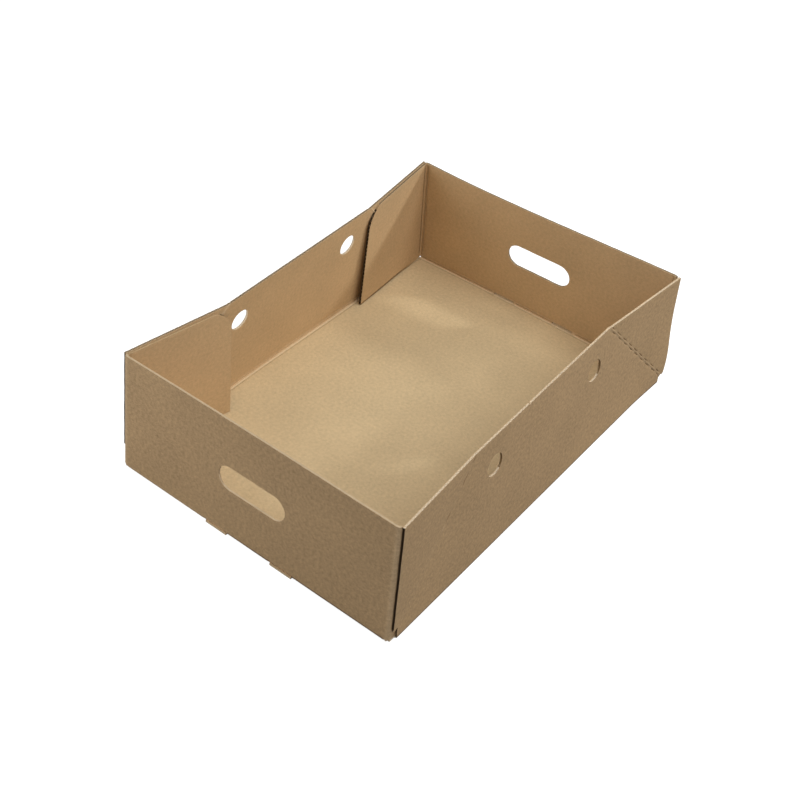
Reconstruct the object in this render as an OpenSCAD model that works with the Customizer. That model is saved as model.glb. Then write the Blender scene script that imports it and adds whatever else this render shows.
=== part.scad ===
// Open tray folded and glued from one die-cut sheet of corrugated card.
// Millimetres, +Z up, +X along the long walls; the origin is the middle of the underside of the base.
// The tray stands as card does: the long walls lean in, and the gussets at their ends turn with the
// glued flaps.

/* [Tray] */
// Outside length at the base, over both end walls
tray_length = 580; // [500:1:700]
// Outside width at the base, over both long walls
tray_width = 400; // [320:1:500]
// Height of the walls, from the underside of the base to the rim
tray_height = 166; // [150:1:190]
// Thickness of the card
board = 3; // [2:0.1:4]
// Inside radius of the folds
fold_radius = 1; // [0.5:0.1:2]
// Distance that a fold is drawn in from the faces and ends of the card where it is creased
fold_pinch = 0.1; // [0.05:0.01:0.3]

/* [Leans] */
// Inward lean of the back long wall, in degrees
back_lean = 6.5; // [1:0.1:9]
// Inward lean of the front long wall, in degrees
front_lean = 4; // [1:0.1:9]
// Inward lean of the left end wall, in degrees
left_lean = 1.5; // [0:0.1:1.5]
// Inward lean of the right end wall, in degrees
right_lean = 1.2; // [0:0.1:1.5]

/* [Long walls] */
// Distance from the end of the tray to the upper end of a slanted crease
crease_reach = 150; // [125:1:175]
// Width of the line scored along a slanted crease, on the outer face
score_width = 1.6; // [0.8:0.1:3]
// Depth of that scored line
score_depth = 0.6; // [0.2:0.1:1.2]
// Distance that the cut end of a long wall runs past the axis of the corner fold beside it
wall_end_reach = 3; // [0.5:0.1:3.8]
// Width of the notch at the foot of each end of a long wall
notch_width = 7; // [5:0.5:12]
// Height of the top of that notch above the underside of the base
notch_height = 15; // [8:0.5:25]
// Diameter of the round vent holes
vent_diameter = 26; // [10:1:40]
// Distance between the two vent holes of a wall
vent_spacing = 204; // [100:1:210]
// Height of the middle of the vent holes above the underside of the base
vent_height = 128; // [60:1:130]

/* [End walls] */
// Length of the hand holes
hand_hole_length = 98; // [60:1:140]
// Height of the hand holes
hand_hole_height = 34; // [20:1:45]
// Height of the middle of the hand holes above the underside of the base
hand_hole_level = 87; // [60:1:110]
// Length of each of the two cuts in the fold between the base and an end wall
fold_cut_length = 40; // [20:1:60]
// Distance between the middles of those two cuts
fold_cut_spacing = 104; // [80:1:200]
// Distance the base's edge stands out past the end wall at those cuts
cut_edge_stand = 0.7; // [0.4:0.1:3]

/* [Corner flaps] */
// Distance from the end of the tray to the free edge of a corner flap
flap_reach = 154; // [100:1:160]
// Gap between the floor and a corner flap
flap_clearance = 4; // [4:0.1:10]
// Distance from the rim down to the upper edge of a corner flap
flap_drop = 1; // [1:0.5:10]
// Radius of the free upper corner of a flap
flap_corner_radius = 31; // [5:1:40]

/* [Hidden] */
$fn = 64;
card_colour = [0.66, 0.53, 0.37];
// Outside radius of the folds
outer_radius = fold_radius + board;
// Distances from the middle of the tray to the axes of the folds of the base
end_axis = tray_length / 2 - outer_radius;
side_axis = tray_width / 2 - outer_radius;
// The upright corner folds lie inside the long walls by one thickness of card
corner_axis = side_axis - board;
// Height of a panel above the axis of the fold at its foot
panel_rise = tray_height - outer_radius;
// Both panels at a slanted crease run this far past it, so that they meet through the card
crease_lap = 1;
// Bends run on by this angle inside the panels beside them, for the same reason
bend_lap = 12;
// Glued faces are pressed into each other by this much, less than the pinch so that a long wall's end
// stays clear of the bend beside it
glue_press = fold_pinch / 2;
// Clearance of a cutting tool past the faces that it cuts
past = 1;

// Upper end of a slanted crease on the inner face of a long wall, seen from the crossing of the fold axes
// at the corner: along the wall, inwards, and up.
function crease_top(side_lean) = [
    crease_reach - outer_radius,
    panel_rise * sin(side_lean) - fold_radius * cos(side_lean),
    panel_rise * cos(side_lean) + fold_radius * sin(side_lean)
];

// The same point in the frame of the end wall, from the axis of the corner fold
function crease_top_at_end(side_lean, end_lean) = let (top = crease_top(side_lean)) [
    top.x * cos(end_lean) - top.z * sin(end_lean),
    top.y - board,
    top.x * sin(end_lean) + top.z * cos(end_lean)
];

// Turn of a flap and its gusset past a right angle, so that the gusset's inner face holds that point
function flap_turn(side_lean, end_lean) = let (
    top = crease_top_at_end(side_lean, end_lean),
    distance = norm([top.x, top.y])
) atan2(top.y, top.x) + asin(outer_radius / distance);

// The same point in the plane of the gusset: along it from the corner fold, and up
function crease_top_on_gusset(side_lean, end_lean) = let (
    top = crease_top_at_end(side_lean, end_lean),
    distance = norm([top.x, top.y])
) [sqrt(distance * distance - outer_radius * outer_radius), top.z];

// Bend in the card about the Z axis, from the +X side towards +Y; the crease draws it in on all sides
module bend(angle, length) {
    rotate([0, 0, -bend_lap])
        rotate_extrude(angle = angle + 2 * bend_lap)
            translate([fold_radius + fold_pinch, fold_pinch])
                square([board - 2 * fold_pinch, length - 2 * fold_pinch]);
}

// Flat card from an outline in X and Z, with its outer face at the given Y
module upright_card(outer_face) {
    translate([0, outer_face, 0])
        rotate([90, 0, 0])
            linear_extrude(board)
                children();
}

module gusset_outline(side_lean, end_lean) {
    top = crease_top_on_gusset(side_lean, end_lean);
    polygon([
        [-wall_end_reach, 0],
        [crease_lap, 0],
        [top.x + crease_lap, top.y],
        [-wall_end_reach, panel_rise]
    ]);
}

module flap_outline() {
    length = flap_reach - outer_radius;
    foot = board + flap_clearance - outer_radius;
    head = panel_rise - flap_drop;
    difference() {
        translate([0, foot])
            square([length, head - foot]);
        translate([length - flap_corner_radius, head - flap_corner_radius])
            difference() {
                square([flap_corner_radius + past, flap_corner_radius + past]);
                circle(flap_corner_radius);
            }
    }
}

// Main panel of a long wall: upright in its own plane, with slanted ends where the gussets begin
module side_panel_outline() {
    half_foot = end_axis + crease_lap;
    half_head = tray_length / 2 - crease_reach + crease_lap;
    difference() {
        polygon([[-half_foot, 0], [half_foot, 0], [half_head, panel_rise], [-half_head, panel_rise]]);
        for (side = [-1, 1])
            translate([side * vent_spacing / 2, vent_height - outer_radius])
                circle(d = vent_diameter);
    }
}

// Scored lines along the two slanted creases of a long wall, in the frame of its main panel
module crease_scores() {
    run = crease_reach - outer_radius;
    for (side = [0, 1])
        mirror([side, 0, 0])
            translate([-end_axis, outer_radius - score_depth, 0])
                rotate([0, -atan2(panel_rise, run), 0])
                    translate([0, 0, -score_width / 2])
                        cube([norm([run, panel_rise]) + past, score_depth + past, score_width]);
}

// Places a child at the axis of the left end fold, leaning in; the right end is its mirror image
module at_end(right, lean) {
    mirror([right ? 1 : 0, 0, 0])
        translate([-end_axis, 0, outer_radius])
            rotate([0, lean, 0])
                children();
}

// Places a child at the back corner fold of an end wall, turned with its flap; the front one is its
// mirror image
module at_corner(front, turn) {
    mirror([0, front ? 1 : 0, 0])
        translate([0, corner_axis, 0])
            rotate([0, 0, -turn])
                children();
}

module gusset(right, front, end_lean, side_lean) {
    at_end(right, end_lean)
        at_corner(front, flap_turn(side_lean, end_lean))
            upright_card(outer_radius + board - glue_press)
                gusset_outline(side_lean, end_lean);
}

module flap(right, front, end_lean, side_lean) {
    turn = flap_turn(side_lean, end_lean);
    foot = board + flap_clearance - outer_radius;
    at_end(right, end_lean)
        at_corner(front, turn) {
            upright_card(outer_radius)
                flap_outline();
            translate([0, 0, foot])
                rotate([0, 0, 90])
                    bend(90 + turn, panel_rise - foot);
        }
}

// A long wall and its fold to the base, with the notches at its foot
module long_wall(front, side_lean) {
    difference() {
        union() {
            mirror([0, front ? 1 : 0, 0])
                translate([0, side_axis, outer_radius]) {
                    rotate([side_lean, 0, 0])
                        upright_card(outer_radius)
                            side_panel_outline();
                    translate([-end_axis, 0, 0])
                        rotate([90, 0, 90])
                            rotate([0, 0, -90])
                                bend(90 + side_lean, 2 * end_axis);
                }
            gusset(false, front, left_lean, side_lean);
            gusset(true, front, right_lean, side_lean);
        }
        mirror([0, front ? 1 : 0, 0])
            translate([0, side_axis, outer_radius])
                rotate([side_lean, 0, 0])
                    crease_scores();
        for (end = [-1, 1])
            translate([
                end * (tray_length / 2 + past) - (notch_width + past) / 2 * (1 + end),
                front ? -tray_width / 2 - past : side_axis,
                -past
            ])
                cube([notch_width + past, outer_radius + past, notch_height + past]);
    }
}

module hand_hole_outline() {
    half_straight = (hand_hole_length - hand_hole_height) / 2;
    translate([-half_straight, -hand_hole_height / 2])
        square([2 * half_straight, hand_hole_height]);
    for (side = [-1, 1])
        translate([side * half_straight, 0])
            circle(d = hand_hole_height);
}

// An end wall with its fold to the base; where that fold is cut, the base's square edge stands out
// below the wall
module end_wall(right, end_lean) {
    at_end(right, end_lean)
        difference() {
            translate([-outer_radius, -corner_axis, 0])
                cube([board, 2 * corner_axis, panel_rise]);
            translate([-outer_radius - past, 0, hand_hole_level - outer_radius])
                rotate([90, 0, 90])
                    linear_extrude(board + 2 * past)
                        hand_hole_outline();
        }
    mirror([right ? 1 : 0, 0, 0]) {
        translate([-end_axis, corner_axis, outer_radius])
            rotate([90, 0, 0])
                rotate([0, 0, 180 - end_lean])
                    bend(90 + end_lean, 2 * corner_axis);
        for (side = [-1, 1])
            translate([
                -tray_length / 2 - cut_edge_stand,
                side * fold_cut_spacing / 2 - fold_cut_length / 2,
                0
            ])
                cube([cut_edge_stand + outer_radius, fold_cut_length, board]);
    }
}

module base() {
    translate([-end_axis, -side_axis, 0])
        cube([2 * end_axis, 2 * side_axis, board]);
}

module tray() {
    color(card_colour)
        union() {
            base();
            end_wall(false, left_lean);
            end_wall(true, right_lean);
            long_wall(false, back_lean);
            long_wall(true, front_lean);
            for (right = [false, true]) {
                flap(right, false, right ? right_lean : left_lean, back_lean);
                flap(right, true, right ? right_lean : left_lean, front_lean);
            }
        }
}

tray();
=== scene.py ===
import math
from collections import namedtuple

import bpy
import numpy as np
from mathutils import Matrix, Vector, geometry, kdtree


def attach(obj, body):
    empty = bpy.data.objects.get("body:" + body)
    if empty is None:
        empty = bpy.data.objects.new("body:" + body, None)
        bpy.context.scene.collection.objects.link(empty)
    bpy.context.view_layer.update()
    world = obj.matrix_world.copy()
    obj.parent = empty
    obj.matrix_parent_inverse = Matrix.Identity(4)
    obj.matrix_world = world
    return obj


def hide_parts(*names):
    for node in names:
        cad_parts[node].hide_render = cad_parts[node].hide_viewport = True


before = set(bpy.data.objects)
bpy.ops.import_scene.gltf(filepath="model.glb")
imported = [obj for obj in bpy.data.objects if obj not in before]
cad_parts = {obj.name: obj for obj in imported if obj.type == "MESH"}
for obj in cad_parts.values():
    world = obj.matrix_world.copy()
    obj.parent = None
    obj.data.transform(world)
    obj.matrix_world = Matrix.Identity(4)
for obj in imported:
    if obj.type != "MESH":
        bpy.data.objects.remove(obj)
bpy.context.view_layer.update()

# Sizes as in the part's source: thickness of the card, outer radius of its folds, distances of the fold axes
# from the middle of the tray, height of the walls above the axes at their feet, and leans of the walls
BOARD = 3.0
OUTER_RADIUS = 4.0
END_AXIS = 286.0
SIDE_AXIS = 196.0
CORNER_AXIS = 193.0
RISE = 162.0
BACK_LEAN, FRONT_LEAN = math.radians(6.5), math.radians(4.0)
LEFT_LEAN, RIGHT_LEAN = math.radians(1.5), math.radians(1.2)

# The flat sheet: s along the tray, t across it, and depth n from the outer face of the card to the inner one.
# A fold takes up a length BEND of it, and then come the feet of the walls and the starts of the flaps.
BEND = 4.0
END_FOOT = END_AXIS + BEND
END_TOP = END_FOOT + RISE
SIDE_FOOT = SIDE_AXIS + BEND
SIDE_TOP = SIDE_FOOT + RISE
FLAP_START = CORNER_AXIS + BEND

# What follows is the tray of the photograph, which stands less evenly than the part. Values for the four
# corners are in this order: back left, back right, front left and front right.
CORNERS = ((-1, 1), (1, 1), (-1, -1), (1, -1))

# Cut ends of the long walls past the corner folds, and width and height of the notches at their feet
WALL_ENDS = (1.0, 3.0, 0.6, 3.0)
NOTCH_WIDTHS = (7.0, 4.5, 12.0, 7.0)
NOTCH_HEIGHTS = (31.0, 15.0, 18.5, 15.0)

# Vent holes: radius, and the places of their middles along the wall and above the floor
VENT_RADIUS = 14.4
VENTS = ((-110.2, 124.2), (96.2, 126.4), (-105.2, 124.8), (107.5, 123.0))

# Hand holes: size, and the heights of their middles at the left and the right end
HAND_LENGTH = 98.0
HAND_HEIGHT = 34.0
HAND_LEVELS = (85.5, 87.0)

# Tongues of the base where the end folds are cut: length and spacing of the cuts, how far a tongue stands out
# past the end wall, and the width of the cut round it
CUT_LENGTH = 31.0
CUT_SPACING = 96.5
CUT_STAND = 0.7
CUT_WIDTH = 0.5

# Corner flaps: length, heights of the lower and upper edges above the foot of the end wall, the lower edge's
# height beside the corner fold, radius of the free upper corner, and how far the foot of the free edge is
# bent in from the plane of the gusset
FLAP_LENGTHS = (147.5, 150.0, 150.0, 150.0)
FLAP_FOOT = 3.0
FLAP_HEADS = (161.6, 161.6, 156.0, 156.0)
FLAP_FOLD_FOOT = 0.5
FLAP_CORNER = 31.0
FLAP_BENDS = (9.0, -9.0, 0.0, 0.0)

# Slanted creases: length along the wall, distance from the corner's diagonal, and pitch of the dashes cut in
# their two lines
CREASE_RUNS = (150.0, 150.0, 143.0, 154.0)
CREASE_SHIFTS = (0.0, 0.0, 0.0, 5.0)
DASH_PITCH = 23.0
# The front left crease is all but pressed flat: only three short dashes and a pale scuff show, at these
# places and lengths along it
FAINT_DASHES = ((211, 4), (187, 7), (143, 5))
SCUFF = (129, 4)

# How far the rim stands from the square tray, at its corners and crease tops: place along the tray, and the
# shifts along X and Y
BACK_RIM = np.array([[-287, 5.5, -3.6], [-140, 1.0, -6.8], [140, 0, 0.0], [287, -9.6, -2.0]])
FRONT_RIM = np.array([[-287, 5.5, 6.1], [-140, 0, 2.8], [140, 0, 8.0], [287, 2.4, 5.5]])
# How far the rims of the end walls are bowed in at their middles, and the feet of the walls are bowed out
LEFT_BOW, RIGHT_BOW = 1.0, 4.4
FRONT_BULGE, BACK_BULGE, RIGHT_BULGE = 1.8, 2.2, 3.0
# Front right corner: how far its base and the foot of its gusset stand out, and its end wall's foot is
# pressed in
BASE_FLARE, GUSSET_FLARE, FOOT_DENT = 2.2, 4.5, 3.2
# Small nick in the front rim: place along the tray, depth and width
NICK_PLACE, NICK_DEPTH, NICK_WIDTH = -37.0, 2.6, 1.2

# Corrugated card: flutes run across the tray, along t, as a wavy sheet between two liners
FLUTE_PITCH = 6.5
LINER = 0.4
MEDIUM = 0.28
# Depth to which the flutes are seen into: at the free edges of the flaps, at the rims and holes, at the
# upright ends of the long walls, where the cut runs along a flute, and at the sides of the front vents
FLAP_FLUTE_DEPTH = 3.0
RIM_FLUTE_DEPTH = 0.45
WALL_END_DEPTH = 3.5
VENT_SIDE_DEPTH = 1.5

# Distances from a fold axis, and from a slanted crease, at which rows of mesh points run along it
FOLD_ROWS = (
    -9, -6, -4.6, -4, -3.4, -2.7, -2, -1.3, -0.6, 0, 1, 2, 3, 4, 4.6, 5.3, 6, 6.7, 7.4, 8, 8.7, 10, 13,
)
CREASE_ROWS = (-5, -3.3, -2.6, -2.2, -1.9, -1.6, -1.2, -0.6, 0, 0.6, 1.2, 1.6, 1.9, 2.2, 2.6, 3.3, 5)
ROW_STEP = 7.0
CREASE_STEP = 2.6
LATTICE_STEP = 8.0

# Materials of the card, by their place in its list
OUTER_FACE, INNER_FACE, CUT_EDGE, HOLLOW, SHADED_EDGE, HOLE_EDGE, FLAP_EDGE = range(7)
# Cut edges come in this order: the outline, the four vents, the two hand holes, the cuts round the tongues
FRONT_VENT_LOOPS = (3, 4)

# The flat sheet's points where the die should cut and where it did, its triangles, and its cut edges as lists
# of points: those of the outline and the holes, and those of the cuts round the tongues
Sheet = namedtuple("Sheet", "clean rough triangles loops cuts")


def smooth(x, low, high):
    """0 below low, 1 above high, and smooth between them."""
    f = np.clip((x - low) / (high - low), 0, 1)
    return f * f * (3 - 2 * f)


def bump(x, middle, width):
    return np.exp(-((x - middle) / width) ** 2)


def only(mask, values):
    return np.where(mask, values, 0)


def at_corner(values, s, t):
    """The value for the corner that a point belongs to."""
    back_left, back_right, front_left, front_right = values
    return np.where(t > 0, np.where(s > 0, back_right, back_left), np.where(s > 0, front_right, front_left))


def side_lean(t):
    return np.where(t > 0, BACK_LEAN, FRONT_LEAN)


def end_lean(s):
    return np.where(s > 0, RIGHT_LEAN, LEFT_LEAN)


def notch_top(s, t):
    return SIDE_FOOT + at_corner(NOTCH_HEIGHTS, s, t) - OUTER_RADIUS


def on_long_wall(s, t):
    """Points of the long walls and their gussets; the feet of the flaps begin just past them."""
    return (np.abs(t) > SIDE_AXIS) & (np.abs(s) < END_FOOT - 0.3)


def above_side_fold(s, t):
    return on_long_wall(s, t) & (np.abs(t) > SIDE_FOOT)


def on_wall_end(s, t):
    """Points on the upright cut ends of the long walls."""
    reach = END_AXIS + at_corner(WALL_ENDS, s, t)
    return (np.abs(np.abs(s) - reach) < 0.1) & (np.abs(t) > SIDE_FOOT)


def in_tongue(s, t):
    """Points of the two tongues at each end that stay flat with the base where its fold is cut."""
    across = np.abs(np.abs(t) - CUT_SPACING / 2) < CUT_LENGTH / 2 + 0.1
    return across & (np.abs(s) > END_AXIS) & (np.abs(s) < END_AXIS + OUTER_RADIUS + CUT_STAND + 0.1)


def crease_place(s, t):
    """Distance of a long wall's points from the slanted crease, negative on the gusset, and place along it."""
    up = np.abs(t) - SIDE_FOOT
    away = END_AXIS - np.abs(s)
    run = at_corner(CREASE_RUNS, s, t)
    length = np.hypot(RISE, run)
    distance = (away * RISE - run * up) / length + at_corner(CREASE_SHIFTS, s, t)
    return distance, (away * run + RISE * up) / length


def faint_crease(s, t):
    return (s < 0) & (t < 0)


def faint_dashes(s, t):
    distance, along = crease_place(s, t)
    dashes = sum(bump(along, middle, length) for middle, length in FAINT_DASHES)
    return only(faint_crease(s, t), dashes * bump(distance, 0, 0.9))


def gusset_frame(s, t):
    """Turn of a flap and its gusset, and the stretch and climb that lay the gusset on its slanted crease."""
    lean, end = side_lean(t), end_lean(s)
    inside_radius = OUTER_RADIUS - BOARD
    along = at_corner(CREASE_RUNS, s, t)
    inwards = RISE * np.sin(lean) - inside_radius * np.cos(lean) - BOARD
    up = RISE * np.cos(lean) + inside_radius * np.sin(lean)
    x = along * np.cos(end) - up * np.sin(end)
    z = along * np.sin(end) + up * np.cos(end)
    distance = np.hypot(x, inwards)
    turn = np.arctan2(inwards, x) + np.arcsin(OUTER_RADIUS / distance)
    reach = np.sqrt(distance ** 2 - OUTER_RADIUS ** 2)
    return turn, reach / along, (z - RISE) / along


def fold_long_wall(s, t, n):
    """Points of the long walls: the main panel, and the gussets in the planes of their flaps."""
    far_s, far_t = np.abs(s), np.abs(t)
    sign_s, sign_t = np.sign(s), np.sign(t)
    radius = OUTER_RADIUS - n
    lean, end = side_lean(t), end_lean(s)
    bent = np.clip((far_t - SIDE_AXIS) / BEND, 0, 1) * (math.pi / 2 + lean)
    up = np.maximum(far_t - SIDE_FOOT, 0)
    wall_y = SIDE_AXIS + radius * np.sin(bent) - up * np.sin(lean)
    wall_z = OUTER_RADIUS - radius * np.cos(bent) + up * np.cos(lean)
    panel = np.stack([s, sign_t * wall_y, wall_z], -1)

    turn, stretch, climb = gusset_frame(s, t)
    away = END_AXIS - far_s
    along, out = away * stretch, OUTER_RADIUS + BOARD + 0.05 - n
    gusset_x = along * np.cos(turn) + out * np.sin(turn)
    gusset_y = CORNER_AXIS - along * np.sin(turn) + out * np.cos(turn)
    gusset_z = up + away * climb
    gusset = np.stack([
        sign_s * (END_AXIS - gusset_x * np.cos(end) - gusset_z * np.sin(end)),
        sign_t * gusset_y,
        OUTER_RADIUS - gusset_x * np.sin(end) + gusset_z * np.cos(end),
    ], -1)
    distance, _ = crease_place(s, t)
    on_gusset = smooth(-distance, -1.3, 1.3)[:, None]
    wall = panel * (1 - on_gusset) + gusset * on_gusset
    x, y, z = wall.T
    wall[:, 1] -= GUSSET_FLARE * bump(z, 38, 45) * smooth(z, 4, 18) * at_front_right(x, y)
    return wall


def fold_end_wall(s, t, n):
    """Points of the end walls, with the flaps turned in at their corners."""
    far_s, far_t = np.abs(s), np.abs(t)
    sign_s, sign_t = np.sign(s), np.sign(t)
    radius = OUTER_RADIUS - n
    lean = end_lean(s)
    turn, _, _ = gusset_frame(s, t)
    bent = np.clip((far_s - END_AXIS) / BEND, 0, 1) * (math.pi / 2 + lean)
    up = np.maximum(far_s - END_FOOT, 0)
    corner = np.clip((far_t - CORNER_AXIS) / BEND, 0, 1) * (math.pi / 2 + turn)
    beyond = np.maximum(far_t - FLAP_START, 0)
    twist = at_corner(FLAP_BENDS, s, t) * (beyond / at_corner(FLAP_LENGTHS, s, t)) ** 1.3
    twist = twist * np.clip(1 - up / RISE, 0, 1)
    flap_x = -radius * np.cos(corner) + beyond * np.cos(turn)
    flap_y = CORNER_AXIS + radius * np.sin(corner) - beyond * np.sin(turn) - twist
    upright_x = END_AXIS - flap_x * np.cos(lean) - up * np.sin(lean)
    upright_z = OUTER_RADIUS - flap_x * np.sin(lean) + up * np.cos(lean)
    folded = far_s >= END_FOOT
    return np.stack([
        sign_s * np.where(folded, upright_x, END_AXIS + radius * np.sin(bent)),
        np.where(far_t > CORNER_AXIS, sign_t * flap_y, t),
        np.where(folded, upright_z, OUTER_RADIUS - radius * np.cos(bent)),
    ], -1)


def at_front_right(x, y):
    """1 at the front right corner, falling off along both walls."""
    return smooth(x, 215, 292) * smooth(-y, 150, 194)


def stand(p):
    """Leans the folded tray as it stands, with its rim off square and its walls bowed."""
    x, y, z = p.T
    out = p.copy()
    height = np.clip(z / (RISE + OUTER_RADIUS), 0, 1.1)
    low = 1 - np.clip(height, 0, 1)
    back = smooth(y, -190, 190)
    for axis in (0, 1):
        at_back = np.interp(x, BACK_RIM[:, 0], BACK_RIM[:, 1 + axis])
        at_front = np.interp(x, FRONT_RIM[:, 0], FRONT_RIM[:, 1 + axis])
        out[:, axis] += height * (at_front * (1 - back) + at_back * back)
    bow = 1 - np.clip(y / 190, -1, 1) ** 2
    out[:, 0] += bow * height * (LEFT_BOW * smooth(-x, 200, 290) - RIGHT_BOW * smooth(x, 200, 290))
    out[:, 0] += bow * low * RIGHT_BULGE * smooth(x, 200, 286)
    out[:, 0] -= FOOT_DENT * bump(z, 8, 6) * smooth(x, 280, 289) * smooth(-y, 170, 190)
    out[:, 1] += low * BACK_BULGE * smooth(y, 100, 195) * bump(x, -50, 120)
    out[:, 1] -= low * FRONT_BULGE * smooth(-y, 100, 195)
    out[:, 1] -= BASE_FLARE * bump(z, 0, 10) * at_front_right(x, y)
    return out


def fold(s, t, n):
    """Where a point of the flat sheet lies in the standing tray."""
    at_side = on_long_wall(s, t)
    at_end = (np.abs(s) > END_AXIS) & ~in_tongue(s, t) & ~at_side
    placed = np.where(at_side[:, None], fold_long_wall(s, t, n), np.stack([s, t, n], -1))
    return stand(np.where(at_end[:, None], fold_end_wall(s, t, n), placed))


def relief(s, t, inner):
    """Height of a liner's face above the flat card: pressed folds and scored creases."""
    far_s, far_t = np.abs(s), np.abs(t)
    height = np.zeros_like(s)
    for near, distance in (
        ((far_s > END_AXIS - 12) & (far_t < CORNER_AXIS + 1), far_s - END_AXIS),
        ((far_t > SIDE_AXIS - 12) & (far_s < END_AXIS), far_t - SIDE_AXIS),
        (far_s > END_FOOT + 2, far_t - CORNER_AXIS),
    ):
        if inner:
            press = 0.6 * bump(distance, -1.2, 0.9) - 0.5 * bump(distance, -3.3, 0.8)
            press += 0.3 * bump(distance, BEND + 1.3, 1.0) - 0.6 * bump(distance, BEND + 3.2, 0.8)
        else:
            press = -0.18 * bump(distance, BEND / 2, 3.0)
        height += only(near, press)
    away, along = crease_place(s, t)
    if inner:
        score = 0.35 * bump(away, 0, 1.2) - 0.2 * bump(away, -2.4, 0.7) - 0.2 * bump(away, 2.4, 0.7)
    else:
        score = 0.25 * bump(away, 0, 1.1)
        for line, phase in ((-2.0, 0), (2.0, 2.6)):
            dashes = smooth(np.sin(along * 2 * math.pi / DASH_PITCH + phase), -0.1, 0.4)
            score -= (0.15 + 1.25 * dashes) * bump(away, line, 0.55)
        score = np.where(faint_crease(s, t), -0.9 * faint_dashes(s, t), score)
    return height + only(above_side_fold(s, t), score)


def arc(x, y, radius, start, stop, steps):
    angles = [math.radians(start + (stop - start) * i / steps) for i in range(steps + 1)]
    return [(x + radius * math.cos(a), y + radius * math.sin(a)) for a in angles]


def quarter_outline(corner):
    """Outline of the sheet's quarter at a corner, drawn as if it were the back right one."""
    notch_s = END_AXIS + OUTER_RADIUS - NOTCH_WIDTHS[corner]
    notch_t = float(notch_top(*CORNERS[corner]))
    wall_end = END_AXIS + WALL_ENDS[corner]
    foot = END_FOOT + FLAP_FOOT
    fold_foot = END_FOOT + FLAP_FOLD_FOOT
    head = END_FOOT + FLAP_HEADS[corner]
    free_edge = FLAP_START + FLAP_LENGTHS[corner]
    quarter = [(END_TOP, 0), (END_TOP, FLAP_START), (head, FLAP_START + 0.5)]
    quarter += arc(head - FLAP_CORNER, free_edge - FLAP_CORNER, FLAP_CORNER, 0, 90, 24)
    quarter += [(foot + 0.5, free_edge - 0.5), (foot, free_edge - 22), (foot, FLAP_START + 60)]
    quarter += [(fold_foot, FLAP_START + 14), (fold_foot, CORNER_AXIS), (END_AXIS, CORNER_AXIS)]
    quarter += [(END_AXIS, SIDE_AXIS), (notch_s, SIDE_AXIS), (notch_s, notch_t), (wall_end, notch_t)]
    return quarter + [(wall_end, SIDE_TOP)]


def sheet_outline():
    """Outline of the die-cut sheet, counter-clockwise."""
    back_left, back_right, front_left, front_right = (quarter_outline(corner) for corner in range(4))
    outline = back_right + [(-s, t) for s, t in reversed(back_left)]
    outline += [(-s, -t) for s, t in front_left[1:]]
    return outline + [(s, -t) for s, t in reversed(front_right[1:])]


def openings():
    """Holes through the sheet and the narrow cuts round the tongues, all clockwise."""
    holes, cuts = [], []
    for (s, level), (_, sign_t) in zip(VENTS, CORNERS):
        holes.append(arc(s, sign_t * (SIDE_FOOT + level - OUTER_RADIUS), VENT_RADIUS, 360, 0, 64)[:-1])
    half = HAND_HEIGHT / 2
    straight = HAND_LENGTH / 2 - half
    for sign_s, level in zip((-1, 1), HAND_LEVELS):
        middle = sign_s * (END_FOOT + level - OUTER_RADIUS)
        holes.append(arc(middle, straight, half, 180, 0, 40) + arc(middle, -straight, half, 0, -180, 40))
    reach = END_AXIS + OUTER_RADIUS + CUT_STAND
    past = reach + CUT_WIDTH
    for sign_s in (-1, 1):
        for sign_t in (-1, 1):
            low = sign_t * CUT_SPACING / 2 - CUT_LENGTH / 2
            high = low + CUT_LENGTH
            before, after = low - CUT_WIDTH, high + CUT_WIDTH
            cut = [(END_AXIS, low), (END_AXIS, before), (past, before), (past, after)]
            cut += [(END_AXIS, after), (END_AXIS, high), (reach, high), (reach, low)]
            cut = [(sign_s * s, t) for s, t in cut]
            cuts.append(cut[::-1] if sign_s > 0 else cut)
    return holes, cuts


def edge_points(corners):
    """Points along a closed outline, in finer steps where it crosses the flutes than along them."""
    points = []
    for (s0, t0), (s1, t1) in zip(corners, corners[1:] + corners[:1]):
        length = math.hypot(s1 - s0, t1 - t0)
        step = FLUTE_PITCH / 10 if abs(s1 - s0) / length > 0.5 else 2.5
        count = max(1, round(length / min(step, max(length, 0.3))))
        points += [(s0 + (s1 - s0) * i / count, t0 + (t1 - t0) * i / count) for i in range(count)]
    return points


def edge_rows(loops):
    """Points just inside the cut edges, so that the wear along them can be drawn finely."""
    rows = []
    for loop in loops:
        p = np.array(loop)
        along = np.roll(p, -1, 0) - np.roll(p, 1, 0)
        along /= np.linalg.norm(along, axis=1)[:, None]
        inwards = np.stack([-along[:, 1], along[:, 0]], -1)
        travel = np.cumsum(np.linalg.norm(p - np.roll(p, 1, 0), axis=1))
        picked = np.unique((travel / 3.0).astype(int), return_index=True)[1]
        rows += [p[picked] + inwards[picked] * inset for inset in (1.3, 3.2)]
    return np.concatenate(rows)


def fold_rows():
    """Close rows of points along every fold and slanted crease."""
    rows = []
    for sign in (-1, 1):
        for away in FOLD_ROWS:
            rows += [(sign * (END_AXIS + away), t) for t in np.arange(-189, 189.1, ROW_STEP)]
            rows += [(s, sign * (SIDE_AXIS + away)) for s in np.arange(-280, 280.1, ROW_STEP)]
            for sign_s in (-1, 1):
                upright = np.arange(END_AXIS + 8, END_TOP - 1, ROW_STEP)
                rows += [(sign_s * s, sign * (CORNER_AXIS + away)) for s in upright]
    for away in CREASE_ROWS:
        for (sign_s, sign_t), run, shift in zip(CORNERS, CREASE_RUNS, CREASE_SHIFTS):
            length = math.hypot(RISE, run)
            along = np.arange(17, length, CREASE_STEP)
            beside = away - shift
            s = END_AXIS - (along * run + beside * RISE) / length
            t = SIDE_FOOT + (along * RISE - beside * run) / length
            rows += list(zip(sign_s * s, sign_t * t))
    return np.array(rows)


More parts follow.
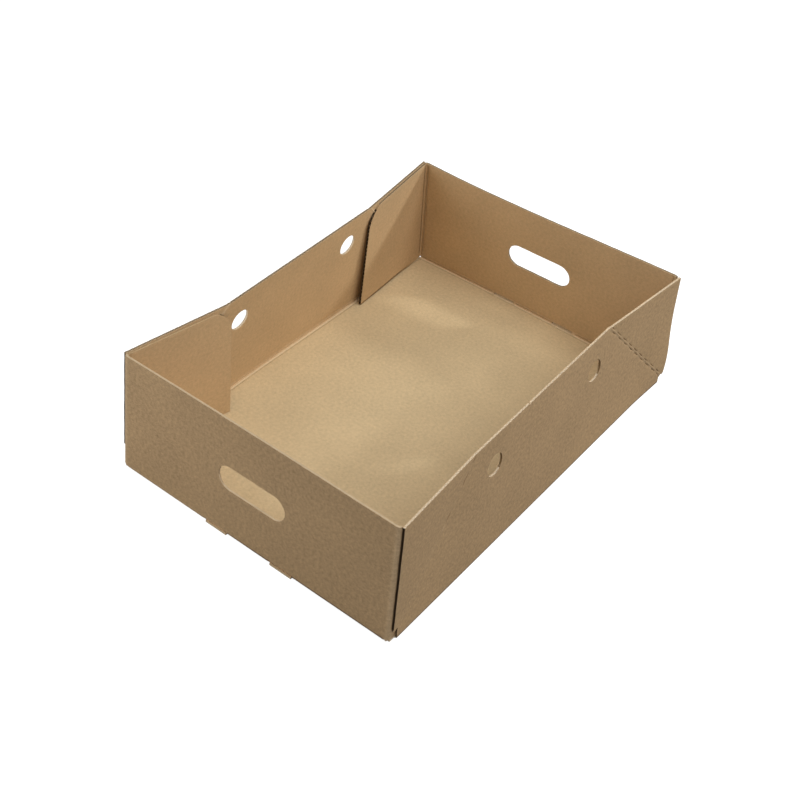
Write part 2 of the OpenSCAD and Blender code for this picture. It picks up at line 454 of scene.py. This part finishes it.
def lattice():
    """Even points over the sheet, apart from its folds and creases."""
    s, t = np.meshgrid(np.arange(-448, 449, LATTICE_STEP), np.arange(-356, 357, LATTICE_STEP))
    grid = np.stack([s, t], -1).reshape(-1, 2)
    far_s, far_t = np.abs(grid.T)
    distance, _ = crease_place(*grid.T)
    near_fold = (np.abs(far_s - END_AXIS - 2) < 14) & (far_t < CORNER_AXIS)
    near_fold |= (np.abs(far_t - SIDE_AXIS - 2) < 14) & (far_s < END_AXIS)
    near_fold |= (np.abs(far_t - CORNER_AXIS - 2) < 14) & (far_s > END_AXIS)
    near_fold |= (np.abs(distance) < 8) & (far_t > SIDE_AXIS) & (far_s < END_AXIS)
    return grid[~near_fold]


def distance_to(points):
    """Gives the distance from any place on the sheet to the nearest of the points."""
    tree = kdtree.KDTree(len(points))
    for i, (s, t) in enumerate(points):
        tree.insert((s, t, 0), i)
    tree.balance()
    return lambda s, t: tree.find((s, t, 0))[2]


def inner_points(loops):
    """Points of the mesh that lie off the cut edges, none of them too close to an edge or to each other."""
    from_edge = distance_to([p for loop in loops for p in loop])
    kept, seen = [], set()
    for s, t in np.concatenate([edge_rows(loops), fold_rows(), lattice()]):
        cell = (round(s / 0.45), round(t / 0.45))
        if cell not in seen and from_edge(s, t) > 0.9:
            seen.add(cell)
            kept.append((s, t))
    return kept


def inside(points, outline):
    """Which points lie inside a closed outline."""
    x, y = points.T
    result = np.zeros(len(points), bool)
    for (x0, y0), (x1, y1) in zip(outline, outline[1:] + outline[:1]):
        if y0 != y1:
            result ^= ((y0 > y) != (y1 > y)) & (x < (x1 - x0) * (y - y0) / (y1 - y0) + x0)
    return result


def edge_frames(p):
    """Directions into the card along a cut edge, how far its flutes are laid open, and their open depth."""
    ahead = np.roll(p, -1, 0) - p
    behind = np.roll(ahead, 1, 0)
    unit_a = ahead / np.linalg.norm(ahead, axis=1)[:, None]
    unit_b = behind / np.linalg.norm(behind, axis=1)[:, None]
    along = unit_a + unit_b
    along /= np.maximum(np.linalg.norm(along, axis=1)[:, None], 1e-6)
    inwards = np.stack([-along[:, 1], along[:, 0]], -1)
    across = np.minimum(np.abs(unit_a[:, 0]), np.abs(unit_b[:, 0]))
    far_s, far_t = np.abs(p.T)
    notch = notch_top(*p.T)
    at_notch = (far_s > END_AXIS - 12) & (far_s < END_AXIS + 9) & (far_t < notch + 1.5)
    wall_end = on_wall_end(*p.T) & (far_t > notch + 2) & (far_t < SIDE_TOP - 2)
    opened = np.where(at_notch, 0, np.where(wall_end, 1, smooth(across, 0.3, 0.7)))
    on_flap = (far_s > END_FOOT) & (far_t > FLAP_START + 10)
    depth = np.where(wall_end, WALL_END_DEPTH, np.where(on_flap, FLAP_FLUTE_DEPTH, RIM_FLUTE_DEPTH))
    return inwards, opened, depth


def roughen(clean, loops):
    """The sheet with cut edges that wander a little, as a die leaves them, and the nick in the front rim."""
    rng = np.random.default_rng(7)
    kernel = np.exp(-np.linspace(-2, 2, 9) ** 2)
    kernel /= kernel.sum()
    rough = clean.copy()
    for loop in loops:
        s, t = clean[loop].T
        inwards, _, _ = edge_frames(clean[loop])
        noise = rng.normal(0, 1, len(loop))
        noise = np.convolve(np.concatenate([noise[-4:], noise, noise[:4]]), kernel, "valid")
        nick = only(t < 1 - SIDE_TOP, NICK_DEPTH * bump(s, NICK_PLACE, NICK_WIDTH))
        rough[loop] += inwards * (0.16 * noise + nick)[:, None]
    return rough


def build_sheet():
    """Meshes the flat sheet."""
    outline = sheet_outline()
    holes, cuts = openings()
    loops = [edge_points(corners) for corners in [outline] + holes + cuts]
    points, edges, spans = [], [], []
    for loop in loops:
        first, count = len(points), len(loop)
        points += loop
        spans.append(range(first, first + count))
        edges += [(first + i, first + (i + 1) % count) for i in range(count)]
    points += inner_points(loops)
    placed, _, faces, origins, _, _ = geometry.delaunay_2d_cdt(
        [Vector(p) for p in points], edges, [], 0, 1e-6, True
    )
    flat = np.array([(v.x, v.y) for v in placed])
    triangles = np.array([tuple(f) for f in faces])
    middles = flat[triangles].mean(1)
    kept = inside(middles, outline)
    for hole in holes + cuts:
        kept &= ~inside(middles, hole)
    used, triangles = np.unique(triangles[kept], return_inverse=True)
    number = {old: new for new, old in enumerate(used)}
    place = {origin: number[i] for i, found in enumerate(origins) if i in number for origin in found}
    loops = [[place[i] for i in span] for span in spans]
    loops, cuts = loops[:-len(cuts)], loops[-len(cuts):]
    clean = flat[used]
    return Sheet(clean, roughen(clean, loops), triangles.reshape(-1, 3), loops, cuts)


class Builder:
    """Collects points of the folded sheet and the faces between them."""

    def __init__(self):
        self.points, self.sheet, self.faces, self.kinds = [], [], [], []

    def add(self, s, t, n):
        first = sum(len(p) for p in self.points)
        self.points.append(fold(s, t, n))
        self.sheet.append(np.stack([s, t, n], -1))
        return np.arange(first, first + len(s))

    def add_faces(self, corners, kinds):
        self.faces += corners.tolist()
        self.kinds += np.broadcast_to(kinds, len(corners)).tolist()

    def mesh(self, name, materials, marks):
        """The collected faces as a mesh object, with sheet coordinates as its UV map."""
        points = np.concatenate(self.points)
        sheet = np.concatenate(self.sheet)
        mesh = bpy.data.meshes.new(name)
        mesh.from_pydata((points / 1000).tolist(), [], self.faces)
        for material in materials:
            mesh.materials.append(material)
        mesh.polygons.foreach_set("material_index", np.array(self.kinds, np.int32))
        corner = np.zeros(len(mesh.loops), np.int32)
        mesh.loops.foreach_get("vertex_index", corner)
        uv = (sheet[:, :2] + 0.7 * sheet[:, 2:]) / 1000
        mesh.uv_layers.new(name="Sheet").data.foreach_set("uv", uv[corner].astype(np.float32).ravel())
        for key, values in marks(sheet).items():
            attribute = mesh.attributes.new(key, "FLOAT", "POINT")
            attribute.data.foreach_set("value", values.astype(np.float32))
        mesh.polygons.foreach_set("use_smooth", np.ones(len(mesh.polygons), bool))
        mesh.set_sharp_from_angle(angle=math.radians(40))
        mesh.validate()
        piece = bpy.data.objects.new(name, mesh)
        bpy.context.scene.collection.objects.link(piece)
        return piece


def fold_mark(s, t, inner):
    """1 along the folds and slanted creases, falling off within a few millimetres."""
    far_s, far_t = np.abs(s), np.abs(t)
    distance, along = crease_place(s, t)
    middle, width = np.where(inner, -1.2, 2.0), np.where(inner, 1.5, 3.2)
    end_fold = np.where(inner, 1.3 * bump(far_s, END_AXIS - 1.0, 1.1), bump(far_s, END_AXIS + middle, width))
    corner_fold = np.where(inner, 0.5, 1) * bump(far_t, CORNER_AXIS + 2, width)
    creased = np.where(faint_crease(s, t), 0.1, 0.7) * bump(distance, 0, 2.5)
    scuff = 1.6 * bump(along, *SCUFF) * bump(distance, 0, 0.9)
    creased = np.where(faint_crease(s, t) & ~inner, np.maximum(creased, scuff), creased)
    return np.max([
        only(far_t < CORNER_AXIS + 2, end_fold),
        only(far_s < END_FOOT, bump(far_t, SIDE_AXIS + middle, width)),
        only(far_s > END_FOOT, corner_fold),
        only(above_side_fold(s, t), creased),
    ], axis=0)


def painted_shade_mark(s, t, inner):
    """Painted shade, 1 where darkest: in the lines pressed beside the inner folds, under the feet of the
    flaps, round the foot of the outer walls by the floor, and in the dashes of the faint crease.
    """
    far_s, far_t = np.abs(s), np.abs(t)
    past_end, past_side, past_corner = far_s - END_AXIS, far_t - SIDE_AXIS, far_t - CORNER_AXIS
    at_end = far_t < CORNER_AXIS - 2
    at_side = far_s < END_AXIS - 2
    flap_foot = smooth(END_FOOT + FLAP_FOOT + 2.6 - far_s, 0, 1.6)
    flap_foot = 1.4 * flap_foot * smooth(far_t, FLAP_START + 12, FLAP_START + 70)
    # Painted shade in the pressed lines beside the inner and corner folds, and in the gap under the flaps'
    # feet
    lines = np.max([
        only(at_end, np.maximum(0.5 * bump(past_end, -3.3, 0.7), 0.6 * bump(past_end, 5.2, 0.8))),
        only(at_side, 0.55 * bump(past_side, -3.6, 0.8)),
        only(far_s > END_FOOT + 4, np.maximum(bump(past_corner, -2.2, 0.8), bump(past_corner, 6.2, 0.9))),
        only((s > END_FOOT) & (t > FLAP_START), flap_foot),
    ], axis=0)
    # Painted contact shadow round the foot of the outer walls, weaker towards the back of the left end
    end_level = np.where(s < 0, 0.25 + 0.75 * smooth(-t, -70, 20), 1)
    end_foot = end_level * smooth(past_end, -5, -2) * smooth(-past_end, -6.2, -3.4)
    outer = np.max([
        only(at_end & ~in_tongue(s, t), end_foot),
        only(at_side, smooth(past_side, -5, -2) * smooth(-past_side, -6.2, -3.4)),
        only(above_side_fold(s, t), faint_dashes(s, t)),
    ], axis=0)
    return np.where(inner, 0.65 * lines, outer)


def edge_kinds(p, number):
    """Materials along a cut edge where it shows no open flutes, using darker copies of the cut edge's paper as
    painted shade: darker at the far rims, on the flap edges, round the hand holes and tongue cuts and on the
    left rim, and near-black in the notches.
    """
    s, t = p.T
    far_s, far_t = np.abs(p.T)
    far_side = (s > END_TOP - 1) | (t > SIDE_TOP - 1) | ((s > END_AXIS) & (far_t < HAND_LENGTH))
    in_notch = (far_s > END_AXIS - 12) & (far_s < END_AXIS + 3.8) & (far_t < notch_top(s, t) + 0.5)
    # Hand holes, tongue cuts and the left rim get a darker copy of the cut edge's paper as painted shade, and
    # the flap edges and far rims darker ones still
    kinds = np.full(len(p), CUT_EDGE if number <= len(VENTS) else HOLE_EDGE)
    kinds[s < 1 - END_TOP] = HOLE_EDGE
    kinds[(far_s > END_FOOT) & (far_t > FLAP_START)] = FLAP_EDGE
    kinds[far_side] = SHADED_EDGE
    # Painted shade in the notches: near-black
    kinds[in_notch & (far_t > SIDE_AXIS + 1)] = HOLLOW
    return kinds


def build_card(sheet, materials):
    """Both liners and the cut edges of the whole sheet."""
    s, t = sheet.rough.T
    card = Builder()
    outer = card.add(s, t, -relief(s, t, False))
    inner = card.add(s, t, BOARD + relief(s, t, True))
    card.add_faces(outer[sheet.triangles[:, ::-1]], OUTER_FACE)
    card.add_faces(inner[sheet.triangles], INNER_FACE)
    # Section through a cut edge between the liners, as insets and depths: pressed shut, and with open flutes
    shut = [(-0.1, 0.55), (-0.03, 1.2), (-0.03, 1.8), (-0.1, 2.45)]
    cut = [(0, LINER), (1, LINER), (1, BOARD - LINER), (0, BOARD - LINER)]
    for number, loop in enumerate(sheet.loops + sheet.cuts):
        clean, rough = sheet.clean[loop], sheet.rough[loop]
        inwards, opened, depth = edge_frames(clean)
        front_vent = number in FRONT_VENT_LOOPS
        if front_vent:
            at_sides = smooth(np.abs(inwards[:, 0]), 0.6, 0.8)
            opened, depth = np.maximum(opened, at_sides), np.where(at_sides > 0.1, VENT_SIDE_DEPTH, depth)
        rows = [outer[loop]]
        for (inset_a, n_a), (inset_b, n_b) in zip(shut, cut):
            inset = inset_a + (inset_b * depth - inset_a) * opened
            if number >= len(sheet.loops):
                inset = np.zeros(len(loop))
            at = rough + inwards * inset[:, None]
            rows.append(card.add(at[:, 0], at[:, 1], n_a + (n_b - n_a) * opened))
        rows.append(inner[loop])

        # Painted shade: open flutes are dark between the liners, and at wall ends and free flap edges right
        # across the card
        far_s, far_t = np.abs(clean.T)
        hollow = (opened > 0.5) & (depth > 1)
        free_edge = (far_s > END_FOOT) & (far_t > FLAP_START + 100)
        right_across = hollow & (on_wall_end(*clean.T) | free_edge)
        plain = edge_kinds(clean, number)
        # Painted shade for open flutes: the flap edges' darker paper at the sides of the front vents,
        # near-black elsewhere
        dark = FLAP_EDGE if front_vent else HOLLOW
        layers = [np.where(right_across, dark, OUTER_FACE)]
        layers += [np.where(hollow, dark, plain)] * 3
        layers += [np.where(right_across, dark, INNER_FACE)]
        for low, high, kinds in zip(rows, rows[1:], layers):
            card.add_faces(np.stack([low, np.roll(low, -1), np.roll(high, -1), high], -1), kinds)

    from_edge = distance_to([p for loop in sheet.loops + sheet.cuts for p in sheet.rough[loop]])

    def marks(points):
        s, t, n = points.T
        on_inside = n > BOARD / 2
        return {
            "fold": fold_mark(s, t, on_inside),
            "edge": np.array([math.exp(-from_edge(*p) / 1.6) for p in points[:, :2]]),
            "base": smooth(END_AXIS - np.abs(s), -1, 1.5) * smooth(SIDE_AXIS - np.abs(t), -1, 1.5),
            "dark": painted_shade_mark(s, t, on_inside),
        }

    return card.mesh("tray_card", materials, marks)


def build_flutes(sheet, material):
    """The fluted sheet between the liners, where cuts across the flutes lay it open."""
    flutes = Builder()
    swing = (BOARD - 2 * LINER - MEDIUM) / 2
    for loop in sheet.loops:
        clean, rough = sheet.clean[loop], sheet.rough[loop]
        inwards, opened, depth = edge_frames(clean)
        phase = rough[:, 0] * 2 * math.pi / FLUTE_PITCH
        middle = BOARD / 2 + swing * np.sin(phase)
        slope = swing * 2 * math.pi / FLUTE_PITCH * np.cos(phase)
        half = MEDIUM / 2 * np.sqrt(1 + slope ** 2)
        rows = []
        for inset in (np.where(depth > 1, 2.3, 0.1), depth):
            at = rough + inwards * inset[:, None]
            rows += [flutes.add(at[:, 0], at[:, 1], middle + side * half) for side in (-1, 1)]
        low, high, deep_low, deep_high = rows
        shown = (opened > 0.6) & ~on_wall_end(*clean.T)
        run = shown & np.roll(shown, -1)
        for a, b in ((low, high), (high, deep_high), (deep_low, low)):
            flutes.add_faces(np.stack([a, np.roll(a, -1), np.roll(b, -1), b], -1)[run], 0)
    return flutes.mesh("tray_flutes", [material], lambda points: {})


class Nodes:
    """Short hand for building the node tree of a material or world."""

    def __init__(self, owner):
        owner.use_nodes = True
        self.owner = owner
        self.tree = owner.node_tree

    def add(self, kind, settings=None, **inputs):
        node = self.tree.nodes.new(kind)
        for key, value in (settings or {}).items():
            setattr(node, key, value)
        for key, value in inputs.items():
            self.set(node, key.replace("_", " "), value)
        return node

    def set(self, node, key, value):
        socket = node.inputs[key]
        if isinstance(value, bpy.types.NodeSocket):
            self.tree.links.new(value, socket)
        else:
            socket.default_value = value

    def math(self, operation, *values):
        node = self.add("ShaderNodeMath", {"operation": operation})
        for key, value in enumerate(values):
            self.set(node, key, value)
        return node.outputs[0]

    def sheet(self, across=1.0, along=1.0):
        """Sheet coordinates in millimetres, scaled across and along the flutes."""
        uv = self.add("ShaderNodeUVMap", {"uv_map": "Sheet"}).outputs[0]
        return self.add("ShaderNodeMapping", Vector=uv, Scale=(1000 * across, 1000 * along, 1)).outputs[0]

    def noise(self, vector, scale, detail, roughness):
        inputs = {"Vector": vector, "Scale": scale, "Detail": detail, "Roughness": roughness}
        return self.add("ShaderNodeTexNoise", {"noise_dimensions": "3D"}, **inputs).outputs["Fac"]

    def attribute(self, name):
        return self.add("ShaderNodeAttribute", {"attribute_name": name}).outputs["Fac"]

    def ramp(self, value, stops):
        node = self.add("ShaderNodeValToRGB", Fac=value)
        elements = node.color_ramp.elements
        while len(elements) < len(stops):
            elements.new(0.5)
        for element, (position, colour) in zip(elements, stops):
            element.position = position
            element.color = (*colour, 1)
        return node.outputs["Color"]

    def mix(self, factor, a, b):
        node = self.add("ShaderNodeMix", {"data_type": "RGBA"})
        for key, value in ((0, factor), (6, a), (7, b)):
            self.set(node, key, (*value, 1) if isinstance(value, tuple) else value)
        return node.outputs[2]

    def principled(self, colour, roughness, specular, height, strength, distance):
        shader = self.tree.nodes["Principled BSDF"]
        relief = self.add("ShaderNodeBump", Height=height, Strength=strength, Distance=distance)
        self.set(shader, "Base Color", colour)
        self.set(shader, "Roughness", roughness)
        self.set(shader, "Specular IOR Level", specular)
        self.set(shader, "Normal", relief.outputs[0])
        return self.owner


def shade(colour, factor):
    return tuple(c * factor for c in colour)


def liner(name, colour, base_colour, grain, worn):
    """Kraft liner: cloudy, with fibres, specks and faint lines of the flutes beneath, their shading partly
    painted, paler where creased, and with painted shade where the dark mark lies.
    """
    g = Nodes(bpy.data.materials.new(name))
    flat = g.sheet()
    clouds = g.noise(flat, 0.012, 2.0, 0.5)
    felt = g.noise(flat, 0.22, 4.0, 0.6)
    fibres = g.noise(g.sheet(1.0, 0.3), 0.9, 3.0, 0.65)
    cross = g.noise(g.sheet(0.35, 1.0), 1.3, 2.0, 0.6)
    across = g.add("ShaderNodeSeparateXYZ", Vector=flat).outputs[0]
    ripple = g.math("SINE", g.math("MULTIPLY", across, 2 * math.pi / FLUTE_PITCH))
    # The flute ripple also darkens and lightens the colour slightly: painted shading of the washboard, besides
    # the bump below
    tone = g.math("MULTIPLY_ADD", ripple, 0.012, 0.5)
    for layer, amount in ((clouds, 0.35), (felt, grain), (fibres, 0.9 * grain), (cross, 0.5 * grain)):
        tone = g.math("ADD", tone, g.math("MULTIPLY_ADD", layer, amount, -amount / 2))
    walls, base = (
        g.ramp(tone, [(0.0, shade(c, 0.62)), (0.5, c), (1.0, shade(c, 1.36))]) for c in (colour, base_colour)
    )
    paper = g.mix(g.attribute("base"), walls, base)
    specks = g.noise(g.sheet(1.0, 0.55), 0.55, 1.0, 0.5)
    specks = g.add("ShaderNodeMapRange", Value=specks, From_Min=0.70, From_Max=0.78).outputs[0]
    paper = g.mix(g.math("MULTIPLY", specks, 0.22), paper, shade(colour, 0.5))
    creased = g.math("MULTIPLY", g.attribute("fold"), g.math("MULTIPLY_ADD", felt, 0.8, 0.3))
    paper = g.mix(g.math("MULTIPLY", creased, worn), paper, (0.80, 0.61, 0.39))
    rubbed = g.math("MULTIPLY", g.attribute("edge"), g.math("MULTIPLY_ADD", fibres, 1.2, -0.2))
    paper = g.mix(g.math("MULTIPLY", rubbed, 0.12), paper, (0.70, 0.57, 0.40))
    # Painted shade: near-black brown where the dark mark lies, in pressed fold lines, wall feet, flap feet and
    # crease dashes
    paper = g.mix(g.math("MULTIPLY", g.attribute("dark"), 0.92), paper, (0.10, 0.05, 0.02))
    height = g.math("ADD", g.math("MULTIPLY", felt, 0.10), g.math("MULTIPLY", fibres, 0.08))
    height = g.math("MULTIPLY_ADD", ripple, 0.06, height)
    return g.principled(paper, g.math("MULTIPLY_ADD", felt, 0.2, 0.74), 0.2, height, 0.5, 0.0006)


def raw_paper(name, colour, scale):
    """Cut paper: fibrous and uneven."""
    g = Nodes(bpy.data.materials.new(name))
    flat = g.sheet()
    fibres = g.noise(flat, scale, 3.0, 0.7)
    patches = g.noise(flat, 0.08, 2.0, 0.5)
    tone = g.math("ADD", g.math("MULTIPLY", fibres, 0.6), g.math("MULTIPLY", patches, 0.4))
    paper = g.ramp(tone, [(0.25, shade(colour, 0.72)), (0.5, colour), (0.75, shade(colour, 1.14))])
    return g.principled(paper, g.math("MULTIPLY_ADD", fibres, 0.15, 0.8), 0.15, fibres, 0.6, 0.0003)


def only_seen(g, seen, other):
    """One shader to the camera and in mirrors and clear things, and another as a source of light."""
    rays = g.add("ShaderNodeLightPath").outputs
    mirrored = g.math("MAXIMUM", rays["Is Glossy Ray"], rays["Is Transmission Ray"])
    node = g.add("ShaderNodeMixShader")
    for key, value in enumerate((g.math("MAXIMUM", rays["Is Camera Ray"], mirrored), other, seen)):
        g.set(node, key, value)
    return node.outputs[0]


def build_floor(half):
    """Pale floor that keeps the tray's soft shadow."""
    ground = bpy.data.meshes.new("floor")
    corners = [(-half, -half, 0), (half, -half, 0), (half, half, 0), (-half, half, 0)]
    ground.from_pydata(corners, [], [(0, 1, 2, 3)])
    floor = bpy.data.objects.new("floor", ground)
    floor.location.z = -0.0004
    bpy.context.scene.collection.objects.link(floor)
    g = Nodes(bpy.data.materials.new("floor_paper"))
    g.tree.nodes.remove(g.tree.nodes["Principled BSDF"])
    dull = g.add("ShaderNodeBsdfDiffuse", Color=(0.5, 0.5, 0.5, 1)).outputs[0]
    glow = g.add("ShaderNodeEmission", Color=(1, 1, 1, 1), Strength=0.86).outputs[0]
    lifted = g.add("ShaderNodeAddShader")
    for key, value in enumerate((dull, glow)):
        g.set(lifted, key, value)
    g.set(g.tree.nodes["Material Output"], "Surface", only_seen(g, lifted.outputs[0], dull))
    ground.materials.append(g.owner)


def build_world(strength):
    """White background that lights the tray at the given strength."""
    world = bpy.data.worlds.new("studio")
    bpy.context.scene.world = world
    g = Nodes(world)
    g.tree.nodes.clear()
    white = g.add("ShaderNodeBackground", Color=(1, 1, 1, 1), Strength=1.0).outputs[0]
    light = g.add("ShaderNodeBackground", Color=(1, 1, 1, 1), Strength=strength).outputs[0]
    g.set(g.add("ShaderNodeOutputWorld"), "Surface", only_seen(g, white, light))


def softbox(name, place, size, power):
    """Square area lamp at a place, facing the tray."""
    data = bpy.data.lights.new(name, "AREA")
    data.shape = "SQUARE"
    data.size = size
    data.energy = power
    lamp = bpy.data.objects.new(name, data)
    lamp.location = place
    lamp.rotation_euler = (Vector(place) - Vector((0, 0, 0.08))).to_track_quat("Z", "Y").to_euler()
    bpy.context.scene.collection.objects.link(lamp)


def build_camera(place, right, up, back, focal_pixels, image_pixels):
    """Camera at a place, from the directions of its own axes and its focal length in pixels."""
    data = bpy.data.cameras.new("camera")
    data.sensor_width = 36.0
    data.lens = focal_pixels / image_pixels * data.sensor_width
    data.clip_end = 50
    camera = bpy.data.objects.new("camera", data)
    turned = Matrix((right, up, back)).transposed().to_4x4()
    camera.matrix_world = Matrix.Translation(place) @ turned
    bpy.context.scene.collection.objects.link(camera)
    bpy.context.scene.camera = camera


# In the order of the numbers that name the card's materials
card_materials = [
    liner("kraft_outer", (0.385, 0.257, 0.136), (0.385, 0.257, 0.136), 1.15, 0.35),
    liner("kraft_inner", (0.60, 0.42, 0.233), (0.66, 0.51, 0.30), 0.55, 1.0),
    raw_paper("cut_edge", (0.79, 0.66, 0.48), 0.9),
    # Near-black copy of the card's paper: painted shade in open flutes and in the notches
    raw_paper("flute_hollow", (0.10, 0.065, 0.035), 1.4),
    # Darker copies of the cut edge's paper, as painted shade: far rims, hand holes, tongue cuts and left rim,
    # flap edges and front vent sides
    raw_paper("shaded_edge", (0.22, 0.16, 0.095), 1.1),
    raw_paper("hole_edge", (0.57, 0.44, 0.285), 1.1),
    raw_paper("flap_edge", (0.40, 0.27, 0.14), 1.1),
]
sheet = build_sheet()
card = build_card(sheet, card_materials)
flutes = build_flutes(sheet, raw_paper("fluted_sheet", (0.58, 0.45, 0.30), 1.4))
for piece in (card, flutes):
    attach(piece, "root")
    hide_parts("tray")

build_floor(6.0)
build_world(0.22)
softbox("overhead", (0.0, -0.9, 2.2), 2.0, 35.5)
softbox("right_box", (1.12, -0.96, 0.83), 0.12, 6.8)
softbox("left_box", (-0.85, 0.55, 0.42), 0.7, 3.7)

# Fitted to the corners of the tray in the photograph
build_camera(
    place=(-1.0098, -0.65727, 1.10716),
    right=(0.60948, -0.78863, 0.08126),
    up=(0.49185, 0.45652, 0.7414),
    back=(-0.62179, -0.4119, 0.66613),
    focal_pixels=1307.06,
    image_pixels=800,
)
bpy.context.scene.view_settings.view_transform = "Standard"
